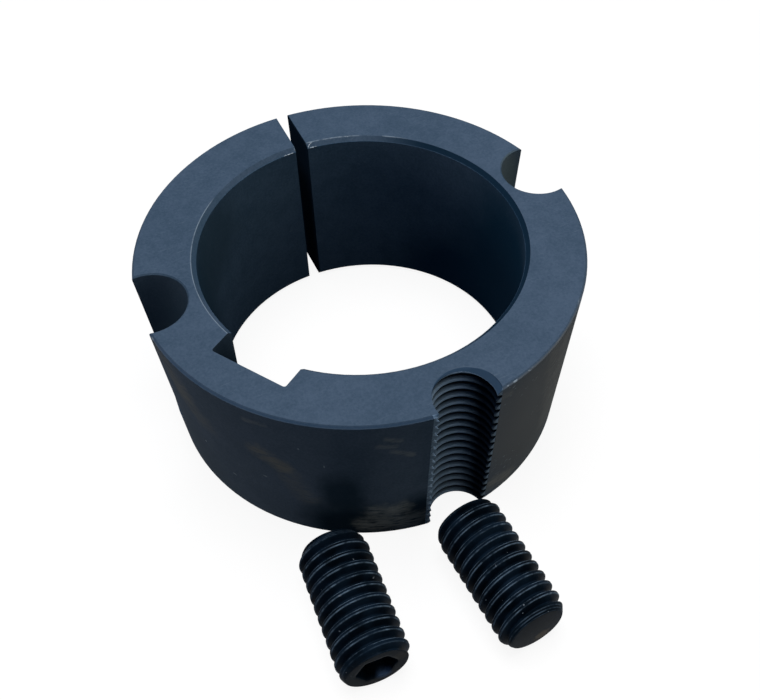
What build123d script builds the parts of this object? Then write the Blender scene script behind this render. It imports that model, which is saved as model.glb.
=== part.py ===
from build123d import *
from math import cos, radians, sin, tan
import os

# Split taper bush for a two inch shaft, with the two grub screws that tighten it and push it
# out, lying on the floor in front of it. Millimetres. The bore runs along Z. The small end
# stands on the floor at Z = 0 and the large end looks up. The tapped half-hole is at -Y.

# Taper bush, driving sizes
large_end_diameter = 69.85
bush_length = 31.75
taper_included_angle = 8.0
bore_diameter = 50.8
bore_mouth_chamfer = 0.7
rim_chamfer = 0.4

# Saw cut through one side. It lies a little off the spot opposite the tapped half-hole.
split_width = 2.1
split_angle = 88.8

# Shallow keyway, its depth measured at the middle of the floor from the bore
keyway_width = 12.7
keyway_depth = 3.6
keyway_corner_radius = 0.4
keyway_angle = 212.0

# Half-holes, all on one circle round the bore axis. The plain pair is blind.
screw_circle_diameter = 66.68
tapped_hole_angle = 270.0
plain_hole_spread = 94.75
plain_hole_clearance = 0.48
plain_hole_mouth_chamfer = 0.22
screw_sink = 1.6
drill_point_angle = 118.0

# Grub screw, driving sizes. Screw and tapped half-hole are as wide as the outside of their thread.
thread_diameter = 10.72
thread_clearance = 0.12
screw_length = 20.5
socket_end_diameter = 9.5
socket_end_taper = 1.3
point_end_diameter = 8.1
point_end_taper = 1.6
point_dome = 0.3
socket_across_flats = 5.556
socket_depth = 5.6

# Where the loose screws lie: the direction of the far end's centre from the bore axis, the gap
# from the large end's rim to it, and the way that the screw points away from the viewer
socket_out_screw = {"bearing": 236.25, "gap": 2.95, "heading": 84.7}
point_out_screw = {"bearing": 268.54, "gap": 1.97, "heading": 91.8}

# Worked out from the sizes above
large_end_radius = large_end_diameter / 2
taper_slope = tan(radians(taper_included_angle / 2))
small_end_radius = large_end_radius - bush_length * taper_slope
bore_radius = bore_diameter / 2
screw_circle_radius = screw_circle_diameter / 2
thread_radius = thread_diameter / 2
tapped_hole_radius = thread_radius + thread_clearance
plain_hole_radius = thread_radius + plain_hole_clearance
plain_hole_floor = bush_length - screw_length - screw_sink
overrun = 1.0
STANDING = (Align.CENTER, Align.CENTER, Align.MIN)
OUTWARDS = (Align.MIN, Align.CENTER, Align.MIN)


def around(radius, angle):
    """A point at this distance from the bore axis, in this direction seen from above."""
    return radius * cos(radians(angle)), radius * sin(radians(angle))


def drill_point_height(radius):
    """Height of the cone that a twist drill leaves under a hole of this radius."""
    return radius / tan(radians(drill_point_angle / 2))


def tapered_ring():
    """The turned blank: a straight bore in a tapered outside, with its edges broken."""
    lower_rim = small_end_radius + rim_chamfer * taper_slope
    upper_rim = large_end_radius - rim_chamfer * taper_slope
    section = Polyline(
        (bore_radius + bore_mouth_chamfer, 0, 0),
        (small_end_radius - rim_chamfer, 0, 0),
        (lower_rim, 0, rim_chamfer),
        (upper_rim, 0, bush_length - rim_chamfer),
        (large_end_radius - rim_chamfer, 0, bush_length),
        (bore_radius + bore_mouth_chamfer, 0, bush_length),
        (bore_radius, 0, bush_length - bore_mouth_chamfer),
        (bore_radius, 0, bore_mouth_chamfer),
        close=True,
    )
    return revolve(make_face(section), Axis.Z)


def split_cut():
    """A slab from inside the bore to past the rim, in the direction of the saw cut."""
    reach = large_end_radius + overrun
    slab = Box(reach, split_width, bush_length + 2 * overrun, align=OUTWARDS)
    return Rot(0, 0, split_angle) * Pos(0, 0, -overrun) * slab


def keyway_cut():
    """A broached slot with small round corners at its floor."""
    reach = bore_radius + keyway_depth
    slot = Box(reach, keyway_width, bush_length + 2 * overrun, align=OUTWARDS)
    floor_edges = slot.edges().filter_by(Axis.Z).group_by(Axis.X)[-1]
    slot = fillet(floor_edges, keyway_corner_radius)
    return Rot(0, 0, keyway_angle) * Pos(0, 0, -overrun) * slot


def plain_hole_cut():
    """A blind drilled hole with a cone at its foot and a small chamfer at its mouth."""
    mouth_radius = plain_hole_radius + plain_hole_mouth_chamfer
    section = Polyline(
        (0, 0, plain_hole_floor - drill_point_height(plain_hole_radius)),
        (plain_hole_radius, 0, plain_hole_floor),
        (plain_hole_radius, 0, bush_length - plain_hole_mouth_chamfer),
        (mouth_radius, 0, bush_length),
        (mouth_radius, 0, bush_length + overrun),
        (0, 0, bush_length + overrun),
        close=True,
    )
    return revolve(make_face(section), Axis.Z)


def tapped_hole_cut():
    """A hole right through, as wide as the outside of the thread that is tapped in it."""
    return Pos(0, 0, -overrun) * Cylinder(tapped_hole_radius, bush_length + 2 * overrun, align=STANDING)


def taper_bush():
    """One machined casting: the tapered ring with its split, keyway and three half-holes."""
    bush = tapered_ring() - split_cut() - keyway_cut()
    for side in (-1, 1):
        x, y = around(screw_circle_radius, tapped_hole_angle + side * plain_hole_spread)
        bush -= Pos(x, y, 0) * plain_hole_cut()
    x, y = around(screw_circle_radius, tapped_hole_angle)
    return bush - Pos(x, y, 0) * tapped_hole_cut()


def grub_screw():
    """A headless screw along Z, its hexagon socket at Z = 0 and its point at the top.

    The rod is turned to a cone at each end, and a large ball rounds the point to a shallow dome.
    """
    point_radius = point_end_diameter / 2
    point_edge = screw_length - point_dome
    outline = Polyline(
        (0, 0, 0),
        (socket_end_diameter / 2, 0, 0),
        (thread_radius, 0, socket_end_taper),
        (thread_radius, 0, point_edge - point_end_taper),
        (point_radius, 0, point_edge),
        (0, 0, screw_length + overrun),
        close=True,
    )
    dome_radius = (point_radius**2 + point_dome**2) / (2 * point_dome)
    ball = Pos(0, 0, screw_length - dome_radius) * Sphere(dome_radius)
    rod = revolve(make_face(outline), Axis.Z) & ball
    apothem = socket_across_flats / 2
    hexagon = extrude(RegularPolygon(apothem, 6, major_radius=False), socket_depth)
    foot_height = drill_point_height(apothem)
    foot = Pos(0, 0, socket_depth) * Cone(apothem, 0, foot_height, align=STANDING)
    return rod - hexagon - foot


def laid_down(screw, place, socket_out):
    """The screw on its side on the floor, its socket or its point towards the viewer."""
    far_x, far_y = around(large_end_radius + place["gap"], place["bearing"])
    away_x, away_y = around(1, place["heading"])
    near_x = far_x - screw_length * away_x
    near_y = far_y - screw_length * away_y
    if socket_out:
        lie = Plane(origin=(near_x, near_y, thread_radius), x_dir=(0, 0, 1), z_dir=(away_x, away_y, 0))
    else:
        lie = Plane(origin=(far_x, far_y, thread_radius), x_dir=(0, 0, 1), z_dir=(-away_x, -away_y, 0))
    return lie.location * screw


screw = grub_screw()
nodes = {
    "taper_bush": taper_bush(),
    "grub_screw_socket_out": laid_down(screw, socket_out_screw, True),
    "grub_screw_point_out": laid_down(screw, point_out_screw, False),
}
os.makedirs("parts", exist_ok=True)
for name, solid in nodes.items():
    export_step(solid, f"parts/{name}.step")
    print(f"{name}: {len(solid.solids())} solid, {solid.volume:.1f} mm3, valid {solid.is_valid}")
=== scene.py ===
# %% [markdown]
# # A split taper bush and its two grub screws
# The bush is a short iron ring with a tapered outside. It is sawn through on one side, so that
# two small screws can draw it into a hub and squeeze it onto a shaft. One half-hole on its rim
# is tapped and pushes the bush out again. The exact solids come ready made. This lesson gives
# them their screw threads, their blackened finish, their small scars, a floor and a light.

# %% Load the solids
from math import radians
import bpy
import numpy as np
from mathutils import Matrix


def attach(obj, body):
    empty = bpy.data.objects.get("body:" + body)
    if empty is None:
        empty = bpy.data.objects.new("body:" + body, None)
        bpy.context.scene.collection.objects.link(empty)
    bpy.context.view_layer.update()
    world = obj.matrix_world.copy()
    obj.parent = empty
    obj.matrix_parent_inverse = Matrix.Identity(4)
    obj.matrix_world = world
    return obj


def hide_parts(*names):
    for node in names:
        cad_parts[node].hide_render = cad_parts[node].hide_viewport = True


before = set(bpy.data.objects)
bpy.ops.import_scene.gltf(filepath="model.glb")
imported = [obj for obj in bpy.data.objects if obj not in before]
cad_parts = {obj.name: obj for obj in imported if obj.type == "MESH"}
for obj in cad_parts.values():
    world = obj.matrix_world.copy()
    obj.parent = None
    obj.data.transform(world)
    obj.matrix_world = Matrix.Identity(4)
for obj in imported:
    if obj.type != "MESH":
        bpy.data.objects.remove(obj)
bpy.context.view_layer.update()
MM = 0.001

# %% [markdown]
# ## The camera
# The camera stands where the photographer's did: about 19 cm from the bush, looking down at
# almost 50 degrees. It was found by laying the edges of the solids over the photograph. The
# long lens and the small shift are part of that match, and nothing else moves the camera.

# %% Place the camera
def new_object(name, data):
    """An object in the scene for a camera, a mesh or a lamp."""
    made = bpy.data.objects.new(name, data)
    bpy.context.scene.collection.objects.link(made)
    return made


camera_data = bpy.data.cameras.new("camera")
camera_data.lens = 49.516
camera_data.sensor_width = 36.0
camera_data.shift_x = -0.0852
camera_data.shift_y = -0.0483
camera_data.clip_start = 0.01
camera = new_object("camera", camera_data)
camera.location = (-0.0448024, -0.1068417, 0.1460046)
camera.rotation_euler = tuple(radians(angle) for angle in (41.48323, -1.20310, -27.90608))
bpy.context.scene.camera = camera
bpy.context.scene.view_settings.view_transform = "Standard"
print("camera at", tuple(round(c, 4) for c in camera.location))

# %% [markdown]
# ## Helpers for surfaces
# Every new piece here is a grid of points worked out at once as an array. A grid has rows and
# columns, and the columns often close into a ring. These helpers turn such grids into meshes,
# with the faces wound the same way all over.

# %% Turn grids of points into meshes

def grid_faces(rows, columns, closed, first=0):
    """Four-sided faces between neighbouring rows and columns of a grid that starts at point first.

    Point (row, column) has the number first + row * columns + column. A closed grid also joins
    its last column to its first.
    """
    steps = columns if closed else columns - 1
    row, column = np.meshgrid(np.arange(rows - 1), np.arange(steps), indexing="ij")
    after = (column + 1) % columns
    here, above = row * columns, (row + 1) * columns
    corners = [here + column, here + after, above + after, above + column]
    return first + np.stack(corners, axis=-1).reshape(-1, 4)


def fan_faces(pole, ring_start, columns, outward):
    """Triangles from one pole point to a ring of points, wound by the sign of outward."""
    column = np.arange(columns)
    here, after = ring_start + column, ring_start + (column + 1) % columns
    pair = (here, after) if outward else (after, here)
    return np.stack([np.full(columns, pole), *pair], axis=-1)


def new_piece(name, points, face_groups, smooth_angle):
    """A mesh object from points in millimetres and groups of faces, shaded smooth below an angle."""
    mesh = bpy.data.meshes.new(name)
    faces = [list(map(int, face)) for group in face_groups for face in group]
    mesh.from_pydata((np.asarray(points) * MM).tolist(), [], faces)
    mesh.validate()
    mesh.polygons.foreach_set("use_smooth", np.ones(len(mesh.polygons), bool))
    mesh.set_sharp_from_angle(angle=radians(smooth_angle))
    piece = new_object(name, mesh)
    print(name, len(mesh.vertices), "points,", len(mesh.polygons), "faces")
    return piece


def carry(piece, label, values):
    """Give a piece one number at each of its points, which its material can read by name."""
    data = piece.data.attributes.new(label, "FLOAT", "POINT").data
    data.foreach_set("value", np.asarray(values, np.float32))


def polar_point(radius, angle, height):
    """A point at this distance from the bore axis, direction in degrees and height."""
    return radius * np.cos(radians(angle)), radius * np.sin(radians(angle)), height


# %% [markdown]
# ## The thread's form
# The screws have a coarse thread of 14 turns to the inch. A real one is rolled, which leaves round
# roots, round crests and a faint fold along the top of each crest. A thread is easy to make as a radius
# that depends on height and angle: the form slides along the screw by one pitch in each turn. That keeps
# the whole screw one closed surface, which a twisted sweep would not. The same place along the form also
# says where the crest's two edges are, which are rubbed bright on a real screw. The screw carries it as
# an attribute for its material, which paints pale lines there that are also a painted highlight.

# %% Work out the thread's form
pitch = 25.4 / 14
crest_half = 0.12
root_half = 0.07
fold_depth = 0.05
fold_width = 0.035
crest_edge_place = 0.125
crest_edge_width = 0.03


def thread_form(crest_half, root_half, fold_depth, rounding, samples=720):
    """Height of a thread from 0 at its root to 1 at its crest, over one pitch.

    The form is a trapezium: flat crest in the middle, straight flanks, flat root at the ends. A
    moving average rounds its corners. A narrow dip along the crest is the rolling fold.
    """
    place = (np.arange(samples) + 0.5) / samples - 0.5
    flank = 0.5 - crest_half - root_half
    form = np.clip((0.5 - root_half - np.abs(place)) / flank, 0, 1)
    weight = np.exp(-0.5 * (place / rounding) ** 2)
    weight = np.roll(weight / weight.sum(), samples // 2)
    form = np.real(np.fft.ifft(np.fft.fft(form) * np.fft.fft(weight)))
    form -= fold_depth * np.exp(-0.5 * (place / fold_width) ** 2)
    return place, (form - form.min()) / (form.max() - form.min())


rolled_form = thread_form(crest_half, root_half, fold_depth, rounding=0.035)


def thread_place(along, angle, start, hand=1):
    """Where a point is across the thread, from -0.5 through 0 at the crest's middle to 0.5.

    It is the distance along the axis less one pitch for each turn, as a share of the pitch.
    """
    turns = (along - start) / pitch - hand * angle / (2 * np.pi)
    return turns - np.round(turns)


def thread_height(along, angle, start, hand=1, form=rolled_form):
    """The thread's height at a distance along its axis and an angle round it, from the form."""
    return np.interp(thread_place(along, angle, start, hand), *form)


def crest_edges(along, angle, start):
    """1 along the two edges of each crest, falling off as a bell curve a few hundredths wide."""
    across = np.abs(thread_place(along, angle, start))
    return np.exp(-((across - crest_edge_place) / crest_edge_width) ** 2)


print("thread pitch", round(pitch, 3), "mm")

# %% [markdown]
# ## The grub screws
# Each screw is a threaded rod with no head. One end has a hexagon socket for a key, the other
# a flat point with a very shallow dome. Both ends are turned to a cone, and the cone trims the
# first thread. One list of rings makes the whole screw: out from the bottom of the socket,
# over the rim, along the thread and in to the middle of the point.

# %% Set the screws' sizes
screw_radius = 5.36
screw_length = 20.5
thread_depth = 1.13
socket_end_radius = 4.75
socket_end_taper = 1.3
point_end_radius = 4.35
point_end_taper = 1.6
point_dome = 0.135
point_tip = screw_length - 0.02
end_softness = 0.6
end_rounding = 0.08
socket_apothem = 5.556 / 2
socket_depth = 5.6
socket_foot = 1.67
socket_corner_radius = 3.12
socket_softness = 60
turned_step = 0.33
turned_depth = 0.035
screw_columns = 168
row_step = 0.052
rim_fade = 0.7
foot_shares = (0.25, 0.55, 0.85, 1.0)
socket_rows = 12
socket_rim_height = 0.22
mouth_growth = 0.09
mouth_steps = ((0.02, 0.08, 0.6), (0.05, 0.02, 0.9), (mouth_growth, 0.0, 1.0))
face_shares = (0.3, 0.6, 0.9)
point_shares = (0.985, 0.95, 0.9, 0.82, 0.7, 0.5, 0.3, 0.12)
point_bareness = 0.75


def hexagon_radius(angle):
    """Distance from the middle of a hexagon to its side, in this direction.

    The half width across flats, divided by the cosine of the angle to the nearest side's middle.
    A smooth minimum with a circle rounds the corners, as black oxide and use do.
    """
    sixth = np.pi / 3
    flat_sided = socket_apothem / np.cos((angle + sixth / 2) % sixth - sixth / 2)
    shares = flat_sided**-socket_softness + socket_corner_radius**-socket_softness
    return shares ** (-1 / socket_softness)


def end_cones(height):
    """The most that the radius may be at a height: two straight cones, one from each end."""
    socket_cone = socket_end_radius + (screw_radius - socket_end_radius) * height / socket_end_taper
    from_point = point_tip - point_dome - height
    point_cone = point_end_radius + (screw_radius - point_end_radius) * from_point / point_end_taper
    return min(socket_cone, point_cone, screw_radius)


def screw_rings(start):
    """Rings of points for a whole screw along Z, with its socket at height 0.

    Outside, the radius is the smaller of the thread and the two end cones, and the lathe's fine steps
    show on the point's cone. The socket's face is flat and the point's face a shallow dome. The thread's
    groove may bite into their rims. Each ring also says how bare its points are: crest_line on the
    crest's edges and on the cone's lathe steps, where the material paints pale lines that are partly
    wear and partly a painted highlight, and end_face at the two ends.
    """
    angle = np.linspace(0, 2 * np.pi, screw_columns, endpoint=False)
    none, six_sided = np.zeros_like(angle), hexagon_radius(angle)
    last = point_tip - point_dome
    rings = []

    def put(radius, height, crest_line=none, end_face=0.0):
        rings.append((radius + none, height + none, crest_line, end_face + none))

    def thread_wall(height):
        return screw_radius - thread_depth * (1 - thread_height(height, angle, start))

    def turned_wave(height):
        return np.cos(2 * np.pi * (last - height) / turned_step)

    def threaded(height):
        cone = end_cones(height)
        if height > last - point_end_taper:
            cone = cone - turned_depth * (1 - turned_wave(height)) / 2
        for from_end in (height, last - height):
            if from_end < end_softness:
                cone = cone - end_rounding * (1 - from_end / end_softness) ** 2
        return np.minimum(thread_wall(height), cone)

    for share in foot_shares:
        put(six_sided * share, socket_depth + socket_foot * (1 - share))
    for height in np.linspace(socket_depth, socket_rim_height, socket_rows)[1:]:
        put(six_sided, height)
    for growth, height, bare in mouth_steps:
        put(six_sided + growth, height, end_face=bare)
    face_edge = threaded(0.0)
    for share in face_shares:
        across = (face_edge - six_sided - 2 * mouth_growth) * share
        put(six_sided + mouth_growth + across, 0.0, end_face=1.0)
    put(face_edge - 0.04, 0.008, end_face=1.0)
    for height in np.arange(0.03, last + 1e-6, row_step):
        radius = threaded(height)
        trimmed = radius < thread_wall(height) - 1e-6
        line = np.where(trimmed, 0.2, 1.0) * crest_edges(height, angle, start)
        if height > last - point_end_taper:
            turned = (0.5 + 0.5 * turned_wave(height)) ** 4
            line = np.where(trimmed, 0.45 * turned, line)
        put(radius, height, line, np.clip(1 - height / rim_fade, 0, 1) ** 2)
    face_edge = threaded(last)
    for share in point_shares:
        bare = point_bareness * (1 - share**3)
        put(face_edge * share, point_tip - point_dome * share**2, end_face=bare)
    return angle, [np.array(column) for column in zip(*rings)]


def make_screw(name, start, near_end, heading, socket_first):
    """A whole screw, laid on the floor with its axis one radius up.

    The screw's own Z runs along the heading when the socket faces the viewer, and against it
    otherwise. Its own X points up.
    """
    angle, (radius, height, crest_line, end_face) = screw_rings(start)
    rows, columns = radius.shape
    rings = np.stack([radius * np.cos(angle), radius * np.sin(angle), height], axis=-1)
    foot, tip = (0, 0, socket_depth + socket_foot), (0, 0, point_tip)
    points = np.concatenate([rings.reshape(-1, 3), [foot, tip]])
    away = np.array(polar_point(1.0, heading, 0.0))
    along = away if socket_first else -away
    origin = np.array([*near_end, screw_radius]) + (0 if socket_first else screw_length) * away
    up = np.array([0, 0, 1.0])
    side = np.cross(along, up)
    laid = origin + points @ np.array([up, side, along])
    last = (rows - 1) * columns
    faces = [
        grid_faces(rows, columns, True),
        fan_faces(rows * columns, 0, columns, False),
        fan_faces(rows * columns + 1, last, columns, True),
    ]
    piece = new_piece(name, laid, faces, smooth_angle=50)
    carry(piece, "crest_line", np.append(crest_line, [0.0, 0.0]))
    carry(piece, "end_face", np.append(end_face, [0.0, point_bareness]))
    return piece


# %% Lay the two screws down
screw_socket_out = make_screw("threaded_screw_socket_out", 1.06, (-22.936, -51.904), 84.7, True)
screw_point_out = make_screw("threaded_screw_point_out", 0.0, (-0.296, -57.373), 91.8, False)
replaced_nodes = {screw_socket_out: "grub_screw_socket_out", screw_point_out: "grub_screw_point_out"}
for piece, node in replaced_nodes.items():
    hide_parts(node)
    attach(piece, "root")

# %% [markdown]
# ## The thread in the half-hole
# The tapped half-hole is cut as wide as the outside of its thread. Its ridges stand inwards from that
# wall and end flush with the tapered outside of the bush, which gives the saw-tooth edge at each side.
# The mouth has a countersink that was cut off centre, so it shows as a crescent on one side. The ridges
# are made as one thin lining: a front that follows the thread, a back that lies just inside the iron,
# edges on the taper, and a flat top level with the bush's own face, which takes the face's finish. The
# lining carries two values for its finish: groove says where painted shade darkens it, which is between
# the ridges and, as a painted shadow, on the far side, and mouth says where the clean cut of the
# countersink is.

# %% Set the bush's sizes
bush_length = 31.75
large_end_radius = 69.85 / 2
bore_radius = 25.4
taper_slope = np.tan(radians(4.0))
rim_chamfer = 0.4
screw_circle_radius = 66.68 / 2
ridge_radius = 4.58
countersink_radius = 4.66
countersink_shift = 0.9
lining_root = 5.45
lining_back = 5.6
lining_top_back = 5.478
tapped_start = 0.5
tapped_form = thread_form(crest_half=0.08, root_half=0.06, fold_depth=0.0, rounding=0.05)
rows, columns = 620, 150
first_spread = 100.0
edge_passes = 8
lining_top_band = 0.06
lining_back_inset = 0.03
clean_mouth_depth, clean_mouth_blend = 1.3, 0.3
clean_mouth_start = -25.0
clean_lip_depth, clean_lip_blend = 0.35, 0.1
# painted shade of the lining: how dark its far side is made and how far that reaches, and how it fades
# at the lining's edges
far_side_shade, far_side_reach = 0.72, 4.2
edge_fade_left, edge_fade_right, edge_shade_kept = 0.06, 0.03, 0.86


def taper_radius(height):
    """Radius of the tapered outside at a height."""
    return large_end_radius - (bush_length - height) * taper_slope


def outside_radius(height):
    """Radius of the bush's outside at a height: the taper, less the chamfer at each end."""
    from_end = np.minimum(height, bush_length - height)
    return taper_radius(height) - np.clip(rim_chamfer - from_end, 0, None)


def ridge_form(height, angle):
    """Radius of the tapped wall: the ridges, and no less than the countersink at the mouth.

    The height of an inside thread's ridge is taken off the wall's radius. The countersink is a
    cone whose axis is shifted sideways: seen from the hole's axis, its radius is the distance to
    a circle off the centre, the shift times the cosine plus the root of what is left.
    """
    ridge = thread_height(height, angle, tapped_start, hand=-1, form=tapped_form)
    ridges = lining_root - (lining_root - ridge_radius) * ridge
    cone = countersink_radius - (bush_length - height)
    towards, across = countersink_shift * np.sin(angle), countersink_shift * np.cos(angle)
    mouth = towards + np.sqrt(np.clip(cone**2 - across**2, 0, None))
    mouth = np.where(cone > countersink_shift, mouth, 0.0)
    return np.minimum(np.maximum(ridges, mouth), lining_root + 0.02)


def edge_angle(radius, height, inset):
    """Angle round the hole, from straight inwards, at which a point meets the bush's outside.

    The law of cosines on the triangle of bore axis, hole axis and point gives it.
    """
    outside = outside_radius(height) - inset
    cosine = (screw_circle_radius**2 + radius**2 - outside**2) / (2 * screw_circle_radius * radius)
    return np.arccos(np.clip(cosine, -1, 1))


def lining_values(height, share, radius, angle):
    """The two values that the lining's front carries: groove and mouth, each from 0 to 1.

    Groove is painted shade: the depth between the ridges as a share of the whole, and on the far side at
    least a painted shadow that grows with the sideways distance. Both fade at the lining's edges. Mouth
    is 1 where the countersink has cut the ridges away, and along the lip.
    """
    below_face = bush_length - height
    depth = np.clip((radius - ridge_radius) / (lining_root - ridge_radius), 0, 1)
    in_mouth = np.clip((clean_mouth_depth - below_face) / clean_mouth_blend, 0, 1)
    mouth = in_mouth * (radius > ridge_radius + 0.06) * (angle > radians(clean_mouth_start))
    mouth = np.maximum(mouth, np.clip((clean_lip_depth - below_face) / clean_lip_blend, 0, 1))
    # painted shade between the ridges
    groove = depth * (1 - in_mouth) * np.clip((share + 1) / edge_fade_left, 0, 1)
    # painted shadow on the far side of the half-hole
    sideways = radius * np.sin(angle)
    far_side = far_side_shade * np.clip(sideways / far_side_reach, 0, 1) * (1 - mouth)
    far_side = far_side * np.clip((1 - share) / edge_fade_right, edge_shade_kept, 1)
    return np.maximum(groove, far_side), mouth


def tapped_lining(rows, columns):
    """The lining's front and back as grids of points in the bush's frame, and its two values.

    Each row ends where it meets the bush's outside. The radius there depends on the angle and
    the angle on the radius, so the spread is found in a few passes.
    """
    height = np.linspace(0.0, bush_length, rows)[:, None]
    share = np.linspace(-1, 1, columns)[None, :]
    spread = np.full((rows, columns), radians(first_spread))
    for _ in range(edge_passes):
        edges = edge_angle(ridge_form(height, share * spread), height, 0.0)
        spread = np.where(share < 0, edges[:, :1], edges[:, -1:])
    front_angle = share * spread
    front_radius = ridge_form(height, front_angle)
    at_top = height > bush_length - lining_top_band
    back_radius = np.where(at_top, lining_top_back, lining_back) + 0 * share
    back_angle = share * edge_angle(back_radius, height, lining_back_inset)
    grids = []
    for radius, angle in ((front_radius, front_angle), (back_radius, back_angle)):
        x, y = radius * np.sin(angle), radius * np.cos(angle) - screw_circle_radius
        grids.append(np.stack([x, y, np.broadcast_to(height, x.shape)], axis=-1))
    return grids, lining_values(height, share, front_radius, front_angle)


def rim_faces(ring_a, ring_b):
    """Faces that join two rows of point numbers of equal length."""
    return np.stack([ring_a[:-1], ring_a[1:], ring_b[1:], ring_b[:-1]], axis=-1)


# %% Build the lining
(front, back), (groove, mouth) = tapped_lining(rows, columns)
count = rows * columns
number = np.arange(count).reshape(rows, columns)
faces = [
    grid_faces(rows, columns, False),
    grid_faces(rows, columns, False, first=count)[:, ::-1],
    rim_faces(number[0] + count, number[0]),
    rim_faces(number[-1], number[-1] + count),
    rim_faces(number[:, 0], number[:, 0] + count),
    rim_faces(number[:, -1] + count, number[:, -1]),
]
points = np.concatenate([front.reshape(-1, 3), back.reshape(-1, 3)])
tapped_thread = new_piece("tapped_half_hole_thread", points, faces, smooth_angle=50)
for label, values in (("groove", groove), ("mouth", mouth)):
    carry(tapped_thread, label, np.append(values, np.zeros(count)))
centres = np.zeros(len(tapped_thread.data.polygons) * 3)
tapped_thread.data.polygons.foreach_get("center", centres)
on_face = centres.reshape(-1, 3)[:, 2] > (bush_length - 0.001) * MM
tapped_thread.data.polygons.foreach_set("material_index", on_face.astype(np.int32))
print("faces of the lining level with the bush's face:", int(on_face.sum()))
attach(tapped_thread, "root")

# %% [markdown]
# ## Burrs at the split
# The saw has thrown up small burrs where the split meets the bore, and the black has come off
# them. Each burr is a short bent wire: rings of points round a path, thinner at its ends and
# lumpy in between.

# %% Raise the burrs
def burr_points(path, thickness, sides, steps):
    """Rings of points round a path, with a pole at each end.

    The path's own points are spread over even steps. The half thickness follows a half sine
    along the path, and three added waves make it lumpy.
    """
    along = np.linspace(0, 1, steps)
    knots = np.linspace(0, 1, len(path))
    middle = np.stack([np.interp(along, knots, np.asarray(path)[:, axis]) for axis in range(3)], axis=-1)
    lumps = 1 + 0.30 * np.sin(23 * along + 1) + 0.22 * np.sin(41 * along) + 0.15 * np.cos(67 * along)
    half = thickness * np.sqrt(np.sin(np.pi * (0.03 + 0.94 * along))) * lumps
    forward = np.gradient(middle, axis=0)
    forward /= np.linalg.norm(forward, axis=1)[:, None]
    side = np.cross(forward, [0.0, 0.0, 1.0])
    side /= np.linalg.norm(side, axis=1)[:, None]
    up = np.cross(side, forward)
    turn = np.linspace(0, 2 * np.pi, sides, endpoint=False)[None, :, None]
    outward = np.cos(turn) * side[:, None] + np.sin(turn) * up[:, None]
    rings = middle[:, None] + half[:, None, None] * outward
    return np.concatenate([rings.reshape(-1, 3), middle[:1], middle[-1:]])


# half thickness, then the path as radius, angle and height
burrs = [
    (0.085, [(25.47, 91.6, 31.02), (25.44, 93.0, 31.06), (25.46, 94.6, 31.04), (25.44, 96.4, 31.08)]),
    (0.07, [(26.05, 91.3, 31.62), (25.75, 91.4, 31.36), (25.5, 91.5, 31.06)]),
    (0.085, [(26.12, 83.4, 31.68), (25.95, 84.9, 31.58), (25.7, 85.7, 31.34), (25.47, 86.0, 31.06)]),
    (0.10, [(25.47, 86.0, 31.04), (25.44, 84.6, 31.05), (25.46, 82.8, 31.08)]),
    (0.06, [(26.08, 77.8, 31.65), (26.1, 76.0, 31.65)]),
    (0.05, [(26.08, 72.6, 31.66), (26.1, 68.6, 31.66)]),
    (0.06, [(26.08, 66.6, 31.65), (26.1, 65.4, 31.65)]),
]
burr_sides, burr_steps = 8, 26
ring_points = burr_sides * burr_steps
points, faces, first = [], [], 0
for thickness, places in burrs:
    path = [polar_point(*place) for place in places]
    made_points = burr_points(path, thickness, burr_sides, burr_steps)
    faces.append(grid_faces(burr_steps, burr_sides, True, first)[:, ::-1])
    faces.append(fan_faces(ring_points, 0, burr_sides, True) + first)
    faces.append(fan_faces(ring_points + 1, ring_points - burr_sides, burr_sides, False) + first)
    points.append(made_points)
    first += len(made_points)
split_burrs = new_piece("split_burrs", np.concatenate(points), faces, smooth_angle=60)
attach(split_burrs, "root")

# %% [markdown]
# ## Helpers for materials
# A finish is drawn by nodes. Effects that several finishes share, such as grain or the marks of
# the lathe, are node groups: each is built once, has named inputs, and puts out a number or a
# colour that varies over the surface. The shader itself stays in each material.

# %% Write short forms for nodes
def fill(node, inputs):
    """Set a node's inputs to values, or link them to sockets, and give the node back."""
    for key, value in inputs.items():
        if isinstance(value, bpy.types.NodeSocket):
            node.id_data.links.new(value, node.inputs[key])
        else:
            node.inputs[key].default_value = value
    return node


def add(kind, inputs, tree=None, **settings):
    """One new node, with its inputs and settings, in the tree that its linked inputs lie in."""
    linked = [value for value in inputs.values() if isinstance(value, bpy.types.NodeSocket)]
    node = (tree or linked[0].id_data).nodes.new(kind)
    for name, value in settings.items():
        setattr(node, name, value)
    return fill(node, inputs)


def maths(operation, *values, clamp=False):
    """The result of one sum on numbers or sockets."""
    settings = {"operation": operation, "use_clamp": clamp}
    return add("ShaderNodeMath", dict(enumerate(values)), **settings).outputs[0]


def product(first, *others):
    """Numbers or sockets, multiplied together."""
    for other in others:
        first = maths("MULTIPLY", first, other)
    return first


def scaled(value, factor, shift):
    """A value times a factor, plus a shift."""
    return maths("ADD", product(value, factor), shift)


def opposite(share):
    """1 less a share from 0 to 1."""
    return maths("SUBTRACT", 1.0, share)


def vectors(operation, *values):
    """The result of one sum on vectors, which is a number for a length, distance or dot product."""
    node = add("ShaderNodeVectorMath", dict(enumerate(values)), operation=operation)
    is_number = operation in ("LENGTH", "DISTANCE", "DOT_PRODUCT")
    return node.outputs["Value" if is_number else "Vector"]


def combine(x, y, z):
    """A vector from three numbers or sockets."""
    return add("ShaderNodeCombineXYZ", {0: x, 1: y, 2: z}).outputs[0]


def blend(share, low, high):
    """A colour between two, by a share from 0 to 1."""
    node = add("ShaderNodeMix", {0: share, 6: low, 7: high}, data_type="RGBA", clamp_factor=True)
    return node.outputs[2]


def ramp(value, low, high, soft=True):
    """0 below low, 1 above high, and an even or soft step between."""
    kind = "SMOOTHSTEP" if soft else "LINEAR"
    inputs = {"Value": value, "From Min": low, "From Max": high}
    return add("ShaderNodeMapRange", inputs, interpolation_type=kind).outputs["Result"]


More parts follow.
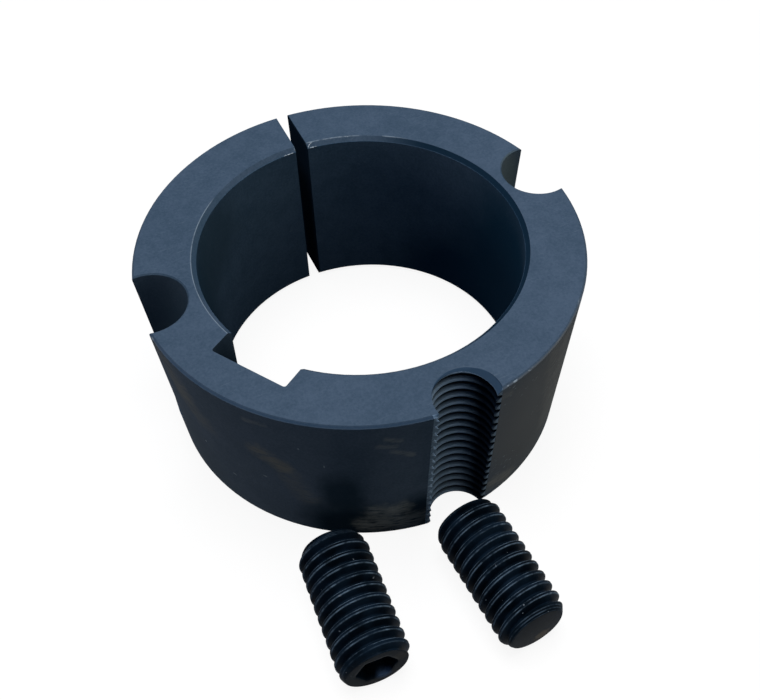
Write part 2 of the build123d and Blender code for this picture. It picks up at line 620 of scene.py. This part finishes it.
def noise(place, scale, detail=3.0, roughness=0.55):
    """Cloudy noise from 0 to 1, its lumps one metre wide divided by the scale."""
    inputs = {"Vector": place, "Scale": scale, "Detail": detail, "Roughness": roughness}
    return add("ShaderNodeTexNoise", inputs).outputs["Fac"]


def bump(height, strength, distance):
    """The surface's normal where a height tilts it: its full step is the distance in metres."""
    inputs = {"Strength": strength, "Distance": distance, "Height": height}
    return add("ShaderNodeBump", inputs).outputs["Normal"]


NUMBER, VECTOR = "NodeSocketFloat", "NodeSocketVector"


def new_group(name, inputs, outputs):
    """An empty node group with named sockets: its tree, the inputs given, its output node."""
    tree = bpy.data.node_groups.new(name, "ShaderNodeTree")
    for way, sockets in (("INPUT", inputs), ("OUTPUT", outputs)):
        for socket, kind in sockets.items():
            tree.interface.new_socket(socket, in_out=way, socket_type=kind)
    return tree, tree.nodes.new("NodeGroupInput").outputs, tree.nodes.new("NodeGroupOutput")

# %% [markdown]
# ### Grain, lathe marks, worn edges, rubs and smears
# The phosphate coat is a mat of tiny crystals, so up close it is speckled. Under it are the fine rings
# that a lathe leaves. The rings follow the distance from the bore axis and the height, so one pattern
# serves the flat ends, the bore and the taper. A worn edge is a thin band round a known circle, broken
# up by noise, and the same band also draws a line of painted shade. A spot is a ragged ellipsoid round a
# point, and serves for rubs, dust and oil, and for painted light and shade. A smear is the space near a
# short straight line. Scratches are long thin noise.

# %% Build the grain and the lathe rings
inputs, outputs = {"Place": VECTOR, "Scale": NUMBER}, {"Tone": NUMBER, "Height": NUMBER}
grain, given, made = new_group("crystal_grain", inputs, outputs)
fine = noise(given["Place"], given["Scale"], detail=2.0, roughness=0.6)
coarse = noise(given["Place"], product(given["Scale"], 0.12), detail=4.0)
tone = maths("ADD", product(fine, 0.55), product(coarse, 0.45))
fill(made, {"Tone": tone, "Height": fine})

inputs, outputs = {"Place": VECTOR, "Lines": NUMBER}, {"Height": NUMBER, "Around": VECTOR}
rings, given, made = new_group("lathe_rings", inputs, outputs)
parts = add("ShaderNodeSeparateXYZ", {0: given["Place"]}).outputs
distance = vectors("LENGTH", combine(parts[0], parts[1], 0.0))
around = combine(distance, 0.0, parts[2])
drift = vectors("MULTIPLY", given["Place"], (0.012, 0.012, 0.012))
shifted = vectors("ADD", around, drift)
line = noise(shifted, given["Lines"], detail=2.0, roughness=0.7)
fill(made, {"Height": line, "Around": around})

# %% Build the worn circle, the rubbed spot, the smear and the scratches
mask = {"Mask": NUMBER}
sizes = {"Radius": NUMBER, "Height": NUMBER, "Width": NUMBER, "Amount": NUMBER}
wear_and_shade_band, given, made = new_group("wear_and_shade_circle", {"Place": VECTOR, "Around": VECTOR, **sizes}, mask)
circle = combine(given["Radius"], 0.0, given["Height"])
gap = vectors("DISTANCE", given["Around"], circle)
near = maths("SUBTRACT", 1.0, maths("DIVIDE", gap, given["Width"]), clamp=True)
patches = noise(given["Place"], 260.0, detail=5.0, roughness=0.65)
level = opposite(given["Amount"])
broken = ramp(patches, maths("SUBTRACT", level, 0.12), maths("ADD", level, 0.06))
fill(made, {"Mask": product(near, broken)})

inputs = {"Place": VECTOR, "Centre": VECTOR, "Stretch": VECTOR, "Ragged": NUMBER}
spot, given, made = new_group("wear_and_painted_light_spot", inputs, mask)
offset = vectors("SUBTRACT", given["Place"], given["Centre"])
in_reaches = vectors("DIVIDE", offset, given["Stretch"])
reach = vectors("LENGTH", in_reaches)
torn = noise(in_reaches, 1.7, detail=5.0, roughness=0.65)
edge = maths("ADD", reach, product(maths("SUBTRACT", torn, 0.5), given["Ragged"]))
fill(made, {"Mask": opposite(ramp(edge, 0.35, 1.0))})

inputs = {"Place": VECTOR, "Start": VECTOR, "End": VECTOR, "Reach": NUMBER, "Ragged": NUMBER}
smear, given, made = new_group("smear", inputs, mask)
run = vectors("SUBTRACT", given["End"], given["Start"])
from_start = vectors("SUBTRACT", given["Place"], given["Start"])
onto = vectors("DOT_PRODUCT", from_start, run)
whole = vectors("DOT_PRODUCT", run, run)
share = maths("DIVIDE", onto, whole, clamp=True)
nearest = vectors("MULTIPLY", run, combine(share, share, share))
away = maths("DIVIDE", vectors("DISTANCE", from_start, nearest), given["Reach"])
torn = noise(given["Place"], 520.0, detail=5.0, roughness=0.6)
edge = maths("ADD", away, product(maths("SUBTRACT", torn, 0.5), given["Ragged"]))
fill(made, {"Mask": opposite(ramp(edge, 0.1, 1.0))})

scratches, given, made = new_group("fine_scratches", {"Place": VECTOR}, mask)
directions = (((0.3, 0.1, 0.9), (260.0, 5200.0, 2600.0)), ((0.8, 0.5, -0.6), (300.0, 6100.0, 1900.0)))
combined = 0.0
for turn, scale in directions:
    turned = {"Vector": given["Place"], "Rotation": turn, "Scale": scale}
    turned = add("ShaderNodeMapping", turned).outputs[0]
    lines = noise(turned, 1.0, detail=1.0, roughness=0.4)
    combined = maths("MAXIMUM", combined, ramp(lines, 0.70, 0.76))
fewer = ramp(noise(given["Place"], 110.0, detail=2.0), 0.45, 0.62)
fill(made, {"Mask": product(combined, fewer)})


def use_group(group, inputs):
    """The outputs of a node that runs a group on these inputs."""
    return add("ShaderNodeGroup", inputs, node_tree=group).outputs


print("effects:", sorted(group.name for group in bpy.data.node_groups))

# %% [markdown]
# ## The blackened iron
# The machined iron is phosphated: a matt blue-grey, almost even on the faces, and made lighter towards
# one side as painted light. The open faces have a faint sheen, which a thin clear coat gives. The bore,
# the split and the keyway hardly have it, nor do the dark patches low on the taper. The taper has been
# handled: one side is dusty and finely scratched, and the pale grey of that side is partly a painted
# sheen. Low on the taper by the screws' ends lie dark patches that are partly oil and partly painted
# shade, and there are brown and pale smears that were dragged round as the bush turned in its hub.
# Painted shade darkens the split, the far side of the bore's chamfer, the near side of the outer rim's
# chamfer, patches of the bore's wall, the left half-hole, a wall of the keyway and one low spot on the
# taper. Corners that are touched most show a pale line. Every mark is placed in the bush's own
# millimetres, so it stays put from any side.

# %% Name the colours and the places
split_angle, split_half_width = 88.8, 1.09
keyway_angle, keyway_half_width, keyway_reach = 212.0, 6.38, 29.8
slot_start = 20.0
bore_margin = 0.06
taper_margin = 0.2
face_margin = 0.02
chamfer_inner, chamfer_outer = 0.03, 0.68
shade_bearing, shade_start, shade_end = -12, 5.0, 16.0
dusty_bearing, dusty_start, dusty_end = 318, 22.0, 33.0
# painted light: the bearing towards which the coat is made lighter, and how much per metre
painted_light_bearing, painted_light_strength = 330, 4.0
everywhere = -99.0
bore_tint = (1.05, 1.18, 1.24, 1)
bare_metal = (0.42, 0.52, 0.62, 1)
brown = (0.185, 0.198, 0.188, 1)
olive = (0.275, 0.315, 0.330, 1)
pale = (0.22, 0.235, 0.24, 1)
# dust, and partly a painted sheen
dust_and_sheen = (0.100, 0.112, 0.122, 1)
# dark oil, which also serves as painted shade low on the taper
oil_and_shade = (0.010, 0.028, 0.050, 1)
# painted shade for the near side of the outer rim's chamfer
navy_painted_shade = (0.022, 0.052, 0.105, 1)
# painted shade for the narrow split, and for the far side of the bore's chamfer
split_painted_shade = (0.018, 0.040, 0.070, 1)
chamfer_painted_shade = (0.006, 0.021, 0.042, 1)
mouth_colour = (0.017, 0.044, 0.088, 1)


# %% Write the steps of the bush's finish
def new_material(name, specular, **coat):
    """A material whose Principled shader has its even values set on its own sockets."""
    material = bpy.data.materials.new(name)
    material.use_nodes = True
    tree = material.node_tree
    shader = tree.nodes["Principled BSDF"]
    fill(shader, {"Metallic": 0.0, "Specular IOR Level": specular, **coat})
    place = tree.nodes.new("ShaderNodeTexCoord").outputs["Object"]
    return material, tree, shader, place


def attribute(tree, name):
    """A value that the mesh carries at its points."""
    return add("ShaderNodeAttribute", {}, tree, attribute_name=name).outputs["Fac"]


def part_way(place, bearing):
    """How far a point lies from the bore axis in one direction, in metres."""
    towards = polar_point(1.0, bearing, 0.0)
    return vectors("DOT_PRODUCT", place, towards)


def in_slot(place, angle, half_width):
    """1 in a straight slot on one side of the bore axis, and 0 elsewhere."""
    sideways = maths("ABSOLUTE", part_way(place, angle - 90))
    outwards = maths("GREATER_THAN", part_way(place, angle), slot_start * MM)
    return product(maths("LESS_THAN", sideways, half_width * MM), outwards)


def iron_zones(place, around):
    """Masks for the bore, taper, split, keyway, shaded side of the chamfer and below the face."""
    parts = add("ShaderNodeSeparateXYZ", {0: around}).outputs
    radius, height = parts[0], parts[2]
    taper = scaled(height, taper_slope, taper_radius(0.0) * MM)
    past_taper = maths("SUBTRACT", radius, taper)
    below_face = maths("LESS_THAN", height, (bush_length - face_margin) * MM)
    keyway = in_slot(place, keyway_angle, keyway_half_width)
    near_keyway = maths("LESS_THAN", radius, keyway_reach * MM)
    past_bore = maths("GREATER_THAN", radius, (bore_radius + chamfer_inner) * MM)
    on_chamfer = maths("LESS_THAN", radius, (bore_radius + chamfer_outer) * MM)
    shaded = ramp(part_way(place, shade_bearing), shade_start * MM, shade_end * MM)
    return {
        "bore": maths("LESS_THAN", radius, (bore_radius + bore_margin) * MM),
        "taper": maths("GREATER_THAN", past_taper, -taper_margin * MM),
        "below_face": below_face,
        "split": in_slot(place, split_angle, split_half_width),
        "keyway": product(keyway, near_keyway, below_face),
        "shaded_chamfer": product(on_chamfer, past_bore, shaded, 0.95),
    }


def plain_iron(place, grains, zones, dark, light, speckle):
    """The coat's colour: grain and clouds between two tones, made lighter towards one bearing as painted
    light, and greener in the bore.
    """
    cloud = noise(place, 70.0, detail=4.0)
    own, shared = product(grains["Tone"], speckle), product(cloud, 1 - speckle)
    tone = ramp(maths("ADD", own, shared), 0.32, 0.68)
    # painted light: the tone grows lighter towards one bearing across the bush
    painted_light_lean = product(part_way(place, painted_light_bearing), painted_light_strength)
    colour = blend(maths("ADD", tone, painted_light_lean), dark, light)
    inputs = {0: 1.0, 6: colour, 7: bore_tint}
    tinted = add("ShaderNodeMix", inputs, data_type="RGBA", blend_type="MULTIPLY")
    return blend(zones["bore"], colour, tinted.outputs[2])


def lay_wear_and_light_spots(place, zones, colour, wear_and_light_spots):
    """The colour with its spots of wear, dust, oil and painted light and shade, and how far each place
    is matt where oil and painted shade lie.
    """
    oil_and_shade_share = 0.0
    for shape, tint, strength, on_outside, matt in wear_and_light_spots:
        zone = zones["taper" if on_outside else "below_face"]
        mask = use_group(spot, {"Place": place, **shape})["Mask"]
        share = product(mask, zone, strength)
        colour = blend(share, colour, tint)
        if matt:
            oil_and_shade_share = maths("MAXIMUM", oil_and_shade_share, share)
    return colour, oil_and_shade_share


def lay_smears(place, zones, colour, smears):
    """The colour with its smears, broken into strokes that run round the taper."""
    inputs = {"Vector": place, "Scale": (450.0, 450.0, 2600.0)}
    stretched = add("ShaderNodeMapping", inputs).outputs[0]
    strokes = ramp(noise(stretched, 1.0, detail=3.0, roughness=0.6), 0.26, 0.58)
    strokes = product(strokes, zones["taper"])
    for shape, tint, strength in smears:
        mask = use_group(smear, {"Place": place, **shape})["Mask"]
        colour = blend(product(mask, strokes, strength), colour, tint)
    return colour


def lay_scratches(place, zones, colour):
    """The colour with fine bare scratches: few in general, many on the dusty side."""
    dusty = ramp(part_way(place, dusty_bearing), dusty_start * MM, dusty_end * MM)
    amount = scaled(product(zones["taper"], dusty), 0.45, 0.05)
    mask = use_group(scratches, {"Place": place})["Mask"]
    return blend(product(mask, amount), colour, bare_metal)


def lay_edges(place, around, colour, edges):
    """The colour with its circles of wear and of painted shade, each on the side that its bearing and
    start give.
    """
    for radius, height, width, amount, bearing, start, tint, strength in edges:
        circle = {"Around": around, "Radius": radius * MM, "Height": height * MM}
        inputs = {"Place": place, **circle, "Width": width * MM, "Amount": amount}
        mask = use_group(wear_and_shade_band, inputs)["Mask"]
        side = part_way(place, bearing)
        here = ramp(side, (start - 1.5) * MM, (start + 0.5) * MM)
        colour = blend(product(mask, here, strength), colour, tint)
    return colour


def finish_iron(
    name, dark, light, speckle, roughness, sheen, wear_and_light_spots=(), smears=(), edges=(), groove_shade_colour=None
):
    """Phosphated iron: the plain coat with its painted light, then spots of wear and painted light,
    smears, scratches, circles of wear and painted shade, and the painted shade of the split and the
    chamfer.

    With a groove colour, the mesh's own groove and mouth values darken it as well; the groove value is
    painted shade.
    """
    clear = {"Coat IOR": 1.5, "Coat Roughness": 0.5}
    material, tree, shader, place = new_material(name, 0.0, **clear)
    grains = use_group(grain, {"Place": place, "Scale": 2600.0})
    marks = use_group(rings, {"Place": place, "Lines": 5200.0})
    zones = iron_zones(place, marks["Around"])
    colour = plain_iron(place, grains, zones, dark, light, speckle)
    colour, oil_and_shade_share = lay_wear_and_light_spots(place, zones, colour, wear_and_light_spots)
    colour = lay_smears(place, zones, colour, smears)
    colour = lay_scratches(place, zones, colour)
    colour = lay_edges(place, marks["Around"], colour, edges)
    # painted shade in the split and on the far side of the bore's chamfer
    colour = blend(zones["split"], colour, split_painted_shade)
    colour = blend(zones["shaded_chamfer"], colour, chamfer_painted_shade)
    dull = product(zones["bore"], 0.85)
    for zone in (zones["split"], zones["keyway"], zones["shaded_chamfer"], oil_and_shade_share):
        dull = maths("MAXIMUM", dull, zone)
    coat = product(opposite(dull), sheen)
    # painted shade between the ridges and on the far side of the tapped half-hole, which also takes off
    # the coat's sheen there
    if groove_shade_colour:
        deep = ramp(attribute(tree, "groove"), 0.18, 0.78)
        colour = blend(deep, colour, groove_shade_colour)
        coat = product(coat, opposite(deep))
        cut = product(attribute(tree, "mouth"), 0.92)
        colour = blend(cut, colour, mouth_colour)
    uneven = ramp(grains["Tone"], 0.2, 0.8, soft=False)
    relief = maths("ADD", product(marks["Height"], 0.6), product(grains["Height"], 0.4))
    spread = scaled(uneven, 0.12, roughness - 0.06)
    normal = bump(relief, 0.25, 0.00003)
    finished = {"Base Color": colour, "Coat Weight": coat, "Roughness": spread, "Normal": normal}
    fill(shader, finished)
    return material


# %% Place the marks on the bush
def in_metres(point):
    """A point given in millimetres, in metres."""
    return tuple(value * MM for value in point)


def on_taper(angle, height):
    """A point on the tapered outside in metres, from its direction in degrees and height."""
    return in_metres(polar_point(taper_radius(height), angle, height))


def wear_and_light_spot(angle, height, wide, high, ragged, tint, strength, radius=None, matt=False):
    """A soft spot on the taper or at a radius: its shape, tint, strength, place and oiliness.

    Wide and high are half sizes in millimetres. A spot on the taper stays on the taper, and one at a
    radius stays below the face. Spots serve for wear, dust and oil, and for painted light and shade.
    """
    on_outside = radius is None
    centre = on_taper(angle, height) if on_outside else in_metres(polar_point(radius, angle, height))
    shape = {"Centre": centre, "Stretch": in_metres((wide, wide, high)), "Ragged": ragged}
    return shape, tint, strength, on_outside, matt


def drag(start, end, reach, ragged, tint, strength):
    """A smear on the taper between two places, each an angle in degrees and a height."""
    shape = {"Start": on_taper(*start), "End": on_taper(*end), "Reach": reach * MM, "Ragged": ragged}
    return shape, tint, strength


wear_and_light_spots = [
    # dust over the right side of the taper, whose pale grey is partly a painted sheen
    wear_and_light_spot(300, 16, 20.0, 30.0, 0.25, dust_and_sheen, 0.88),
    wear_and_light_spot(283, 21, 12.0, 16.0, 0.3, (0.118, 0.136, 0.156, 1), 0.65),
    # dark patches low on the taper by the screws' ends: partly oil, partly painted shade from the screws
    wear_and_light_spot(241, 2, 11.0, 11.0, 0.4, oil_and_shade, 0.95, matt=True),
    wear_and_light_spot(259, 5, 5.5, 8.0, 0.5, oil_and_shade, 0.9, matt=True),
    wear_and_light_spot(239, 12, 5.0, 9.0, 0.6, oil_and_shade, 0.7, matt=True),
    wear_and_light_spot(268, 10, 3.0, 12.0, 0.5, oil_and_shade, 0.6, matt=True),
    # painted shade: dark patches on the bore's wall, darkest low down
    wear_and_light_spot(20, 3, 19.0, 14.0, 0.4, (0.003, 0.028, 0.068, 1), 0.95, bore_radius),
    wear_and_light_spot(-8, 16, 20.0, 24.0, 0.4, (0.010, 0.046, 0.094, 1), 0.95, bore_radius),
    wear_and_light_spot(164, 16, 13.0, 24.0, 0.4, (0.020, 0.050, 0.086, 1), 0.85, bore_radius),
    wear_and_light_spot(140, 25, 11.0, 12.0, 0.4, (0.028, 0.058, 0.092, 1), 0.65, bore_radius),
    wear_and_light_spot(13.5, 27, 4.5, 9.0, 0.4, (0.090, 0.128, 0.142, 1), 0.7, 31.6),
    # painted shade: darker low on the left of the taper
    wear_and_light_spot(189, 4, 11.0, 16.0, 0.4, (0.028, 0.052, 0.084, 1), 0.75),
    # painted shade on a side wall of the keyway
    wear_and_light_spot(198.8, 16, 4.2, 22.0, 0.2, (0.008, 0.022, 0.040, 1), 0.92, 27.7),
    wear_and_light_spot(199.5, 27.5, 0.3, 0.3, 0.8, bare_metal, 0.5, 27.0),
    wear_and_light_spot(199.2, 24.0, 0.25, 0.25, 0.8, bare_metal, 0.4, 27.8),
    wear_and_light_spot(200.0, 20.5, 0.3, 0.25, 0.8, bare_metal, 0.35, 26.6),
    # painted shade inside the left half-hole
    wear_and_light_spot(175.2, 19, 6.0, 13.0, 0.3, (0.018, 0.046, 0.085, 1), 0.8, 30.0),
    wear_and_light_spot(198.3, 12.8, 0.28, 0.28, 0.6, bare_metal, 0.6),
    wear_and_light_spot(235.4, 20.8, 0.16, 0.45, 0.6, bare_metal, 0.5),
    wear_and_light_spot(207.3, 8.5, 0.5, 0.3, 1.0, bare_metal, 0.35),
    wear_and_light_spot(218.6, 13.5, 0.5, 0.3, 1.0, bare_metal, 0.35),
    wear_and_light_spot(229.8, 24.8, 0.2, 0.25, 0.6, bare_metal, 0.4),
    wear_and_light_spot(282.6, 31.6, 0.55, 0.4, 0.7, bare_metal, 0.8),
    wear_and_light_spot(280.4, 31.6, 0.35, 0.3, 0.7, bare_metal, 0.7),
    wear_and_light_spot(186.5, 31.6, 0.45, 0.4, 0.8, bare_metal, 0.7),
    wear_and_light_spot(278.8, 31.7, 0.3, 0.3, 0.8, bare_metal, 0.5),
]
smears = [
    drag((218.3, 20.9), (224.4, 18.4), 2.6, 0.9, brown, 0.72),
    drag((224.4, 18.0), (229.7, 10.4), 2.8, 1.0, brown, 0.30),
    drag((189.5, 30.5), (195.6, 24.0), 4.2, 0.8, brown, 0.42),
    drag((195.6, 24.0), (201.0, 20.0), 3.6, 1.0, brown, 0.30),
    drag((217.5, 28.6), (222.0, 29.0), 0.8, 1.3, olive, 0.30),
    drag((245.0, 3.4), (258.0, 3.4), 3.6, 1.0, olive, 0.95),
    drag((247.5, 7.2), (253.5, 7.6), 2.9, 1.2, olive, 0.90),
    drag((250.3, 28.3), (253.4, 27.5), 0.8, 1.3, olive, 0.38),
    drag((248.8, 26.5), (252.3, 26.1), 0.8, 1.3, olive, 0.34),
    drag((252.0, 24.8), (256.3, 23.2), 0.9, 1.3, olive, 0.42),
    drag((281.5, 3.8), (287.5, 2.4), 2.6, 1.2, pale, 0.75),
    drag((277.5, 29.8), (281.0, 29.2), 1.2, 1.3, pale, 0.50),
    drag((298.0, 30.0), (304.0, 8.0), 3.0, 1.3, pale, 0.28),
    drag((304.0, 28.0), (310.0, 6.0), 3.6, 1.1, pale, 0.40),
]
# radius, height, width, amount, bearing and start of the side that has it, tint, strength
edges = [
    # painted shade: a navy line on the near side of the outer rim's chamfer
    (large_end_radius - 0.2, bush_length - 0.2, 0.32, 1.0, 228, 24.0, navy_painted_shade, 0.65),
    (large_end_radius - 0.3, bush_length - 0.1, 0.20, 0.28, 0, everywhere, bare_metal, 0.5),
    (bore_radius + 0.7, bush_length, 0.13, 0.56, 174, 20.0, bare_metal, 0.42),
    (bore_radius + 0.7, bush_length, 0.17, 0.46, 71, 25.0, bare_metal, 0.60),
]
print("marks on the bush:", len(wear_and_light_spots), "rubs,", len(smears), "smears,", len(edges), "worn edges")

# %% Put the finish on the bush
iron = finish_iron(
    "phosphated_iron_finish",
    dark=(0.042, 0.074, 0.119, 1),
    light=(0.068, 0.107, 0.166, 1),
    speckle=0.75,
    roughness=0.66,
    sheen=0.115,
    wear_and_light_spots=wear_and_light_spots,
    smears=smears,
    edges=edges,
)
# painted light: the lining's iron is painted about three times lighter than the bush's, for the light on
# its ridges, and its groove darkening is painted shade
threaded_iron_painted_light = finish_iron(
    "tapped_iron_painted_light_finish",
    dark=(0.150, 0.235, 0.350, 1),
    light=(0.210, 0.310, 0.440, 1),
    speckle=0.6,
    roughness=0.6,
    sheen=0.10,
    groove_shade_colour=(0.001, 0.004, 0.011, 1),
)
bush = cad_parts["taper_bush"]
bush.data.materials.clear()
bush.data.materials.append(iron)
for finish in (threaded_iron_painted_light, iron):
    tapped_thread.data.materials.append(finish)
print("iron has", len(iron.node_tree.nodes), "nodes")

# %% Make the finish of the burrs
burr_finish, tree, shader, place = new_material("bared_iron_finish", 0.2)
shine = ramp(noise(place, 2400.0, detail=2.0), 0.35, 0.65)
colour = blend(shine, (0.16, 0.21, 0.27, 1), (0.50, 0.58, 0.66, 1))
fill(shader, {"Base Color": colour, "Roughness": scaled(shine, -0.2, 0.55)})
split_burrs.data.materials.append(burr_finish)

# %% [markdown]
# ## The blackened screws
# The screws are black oxide on rolled steel, much darker than the bush. Pale lines in patches along the
# two edges of each crest are painted highlights, and partly the wear of rubbing. The ends are duller and
# dusted with crumbs. Tiny bare specks sit where the black has chipped, and three spots lie where the
# photograph shows them: a brown patch on the point's lower edge that is partly painted light, a dull
# spot on the socket's rim, and a painted highlight on the lower wall inside the socket.

# %% Make the finish of the screws
crumb_colour = (0.06, 0.085, 0.11, 1)
chip_colour = (0.22, 0.26, 0.31, 1)


def finish_steel(name, dark, light, wear_and_highlight_line, bare_end, roughness, specular, dull_and_lit_spots):
    """Black oxide: near black with faint blue clouds, crest edges with painted highlights that are
    partly wear, duller ends, chips.
    """
    material, tree, shader, place = new_material(name, specular)
    grains = use_group(grain, {"Place": place, "Scale": 3200.0})
    crest_line, end_face = attribute(tree, "crest_line"), attribute(tree, "end_face")
    colour = blend(ramp(noise(place, 220.0, detail=4.0), 0.35, 0.7), dark, light)
    patches = ramp(noise(place, 520.0, detail=5.0, roughness=0.65), 0.36, 0.66)
    # painted highlight: pale lines in patches along the crest edges, partly wear
    rubbed_and_lit = scaled(patches, 0.9, 0.10)
    colour = blend(product(crest_line, rubbed_and_lit), colour, wear_and_highlight_line)
    dusted = scaled(ramp(grains["Tone"], 0.3, 0.7), 0.5, 0.5)
    colour = blend(product(end_face, dusted), colour, bare_end)
    crumbs = ramp(noise(place, 1500.0, detail=3.0, roughness=0.7), 0.58, 0.72)
    colour = blend(product(crumbs, end_face, 0.35), colour, crumb_colour)
    for centre, reach, ragged, tint, strength in dull_and_lit_spots:
        shape = {"Place": place, "Centre": centre, "Stretch": (reach, reach, reach), "Ragged": ragged}
        colour = blend(product(use_group(spot, shape)["Mask"], strength), colour, tint)
    chips = ramp(noise(place, 1300.0, detail=1.0, roughness=0.4), 0.775, 0.80)
    colour = blend(chips, colour, chip_colour)
    spread = scaled(grains["Tone"], 0.22, roughness - 0.11)
    normal = bump(grains["Height"], 0.2, 0.00002)
    fill(shader, {"Base Color": colour, "Roughness": spread, "Normal": normal})
    return material


# middle and reach in metres, raggedness, tint, strength
dull_and_lit_spots = [
    # a brown patch on the point's lower edge, partly painted light
    ((0.0007, -0.0573, 0.0028), 0.0016, 0.8, (0.110, 0.098, 0.080, 1), 0.85),
    # a dull spot on the socket's rim
    ((-0.0195, -0.0519, 0.0066), 0.0017, 0.7, (0.040, 0.042, 0.040, 1), 0.5),
    # painted highlight: a blue patch on the lower wall inside the socket
    ((-0.0219, -0.0519, 0.0027), 0.0015, 0.5, (0.055, 0.100, 0.190, 1), 0.85),
]
steel = finish_steel(
    "black_oxide_finish",
    dark=(0.0012, 0.004, 0.008, 1),
    light=(0.006, 0.015, 0.029, 1),
    wear_and_highlight_line=(0.165, 0.245, 0.34, 1),
    bare_end=(0.006, 0.010, 0.015, 1),
    roughness=0.45,
    specular=0.012,
    dull_and_lit_spots=dull_and_lit_spots,
)
for piece in (screw_socket_out, screw_point_out):
    piece.data.materials.append(steel)
print("steel has", len(steel.node_tree.nodes), "nodes")

# %% [markdown]
# ## Floor and light
# The bush stands on a plain white floor. The camera and reflections see it white, and it keeps
# a soft shadow. What bounces back onto the object is kept lower, as from a grey table. One big
# soft panel hangs over the bush, a little behind it, and lights the top evenly. Two weak ones
# stand low at the sides: a broad one on the right, which keeps the dusty side of the taper
# readable, and a small one on the left. The near side falls away into the dark.

# %% Lay the floor
floor_height = -0.04 * MM
floor_half_width = 2.5
floor_bounce = (0.022, 0.022, 0.025, 1)
floor_shade = (0.14, 0.14, 0.14, 1)
floor_glow = 0.90


def bare_tree(owner):
    """The node tree of a material or world, emptied."""
    owner.use_nodes = True
    owner.node_tree.nodes.clear()
    return owner.node_tree


def show_apart(tree, output, spread, shown):
    """End a tree with one look for light that spreads, and one for camera, gloss and glass."""
    path = tree.nodes.new("ShaderNodeLightPath").outputs
    seen = maths("MAXIMUM", path["Is Camera Ray"], path["Is Glossy Ray"])
    seen = maths("MAXIMUM", seen, path["Is Transmission Ray"])
    both = add("ShaderNodeMixShader", {0: seen, 1: spread, 2: shown}).outputs[0]
    add(output, {"Surface": both})


corners = [
    (x * floor_half_width, y * floor_half_width, floor_height)
    for x, y in ((-1, -1), (1, -1), (1, 1), (-1, 1))
]
floor_mesh = bpy.data.meshes.new("floor")
floor_mesh.from_pydata(corners, [], [(0, 1, 2, 3)])
floor = new_object("floor", floor_mesh)

floor_finish = bpy.data.materials.new("floor_finish")
tree = bare_tree(floor_finish)
bounce = add("ShaderNodeBsdfDiffuse", {"Color": floor_bounce}, tree).outputs[0]
shade = add("ShaderNodeBsdfDiffuse", {"Color": floor_shade}, tree).outputs[0]
glow = {"Color": (1, 1, 1, 1), "Strength": floor_glow}
glow = add("ShaderNodeEmission", glow, tree).outputs[0]
shown = add("ShaderNodeAddShader", {0: shade, 1: glow}).outputs[0]
show_apart(tree, "ShaderNodeOutputMaterial", bounce, shown)
floor_mesh.materials.append(floor_finish)
print("floor at", floor_height, "m, shown at", floor_glow, "before its shade")

# %% Light the world
room_colour, room_strength = (0.15, 0.50, 1.0, 1), 0.06
world = bpy.data.worlds.new("world")
bpy.context.scene.world = world
tree = bare_tree(world)
room = {"Color": room_colour, "Strength": room_strength}
room = add("ShaderNodeBackground", room, tree).outputs[0]
white = add("ShaderNodeBackground", {"Color": (1, 1, 1, 1), "Strength": 1.0}, tree).outputs[0]
show_apart(tree, "ShaderNodeOutputWorld", room, white)

# %% Hang the panels
aim = np.array([0.0, 0.0, 0.02])


def add_panel(name, bearing, from_overhead, distance, size, power, colour):
    """A square soft lamp that faces the object. Degrees, metres and watts."""
    data = bpy.data.lights.new(name, "AREA")
    data.shape, data.size, data.energy, data.color = "SQUARE", size, power, colour
    panel = new_object(name, data)
    tilt = radians(from_overhead)
    panel.location = aim + distance * np.array(polar_point(np.sin(tilt), bearing, np.cos(tilt)))
    panel.rotation_euler = (tilt, 0, radians(bearing + 90))
    print(name, "at", tuple(round(c, 3) for c in panel.location), power, "W")


add_panel("top_panel", 87, 6, 1.0, 0.64, 8.7, (1.0, 0.99, 1.0))
add_panel("right_panel", 318, 71, 0.7, 0.88, 2.0, (1.0, 0.89, 0.70))
add_panel("left_panel", 165, 80, 0.7, 0.25, 0.72, (1.0, 0.84, 0.70))
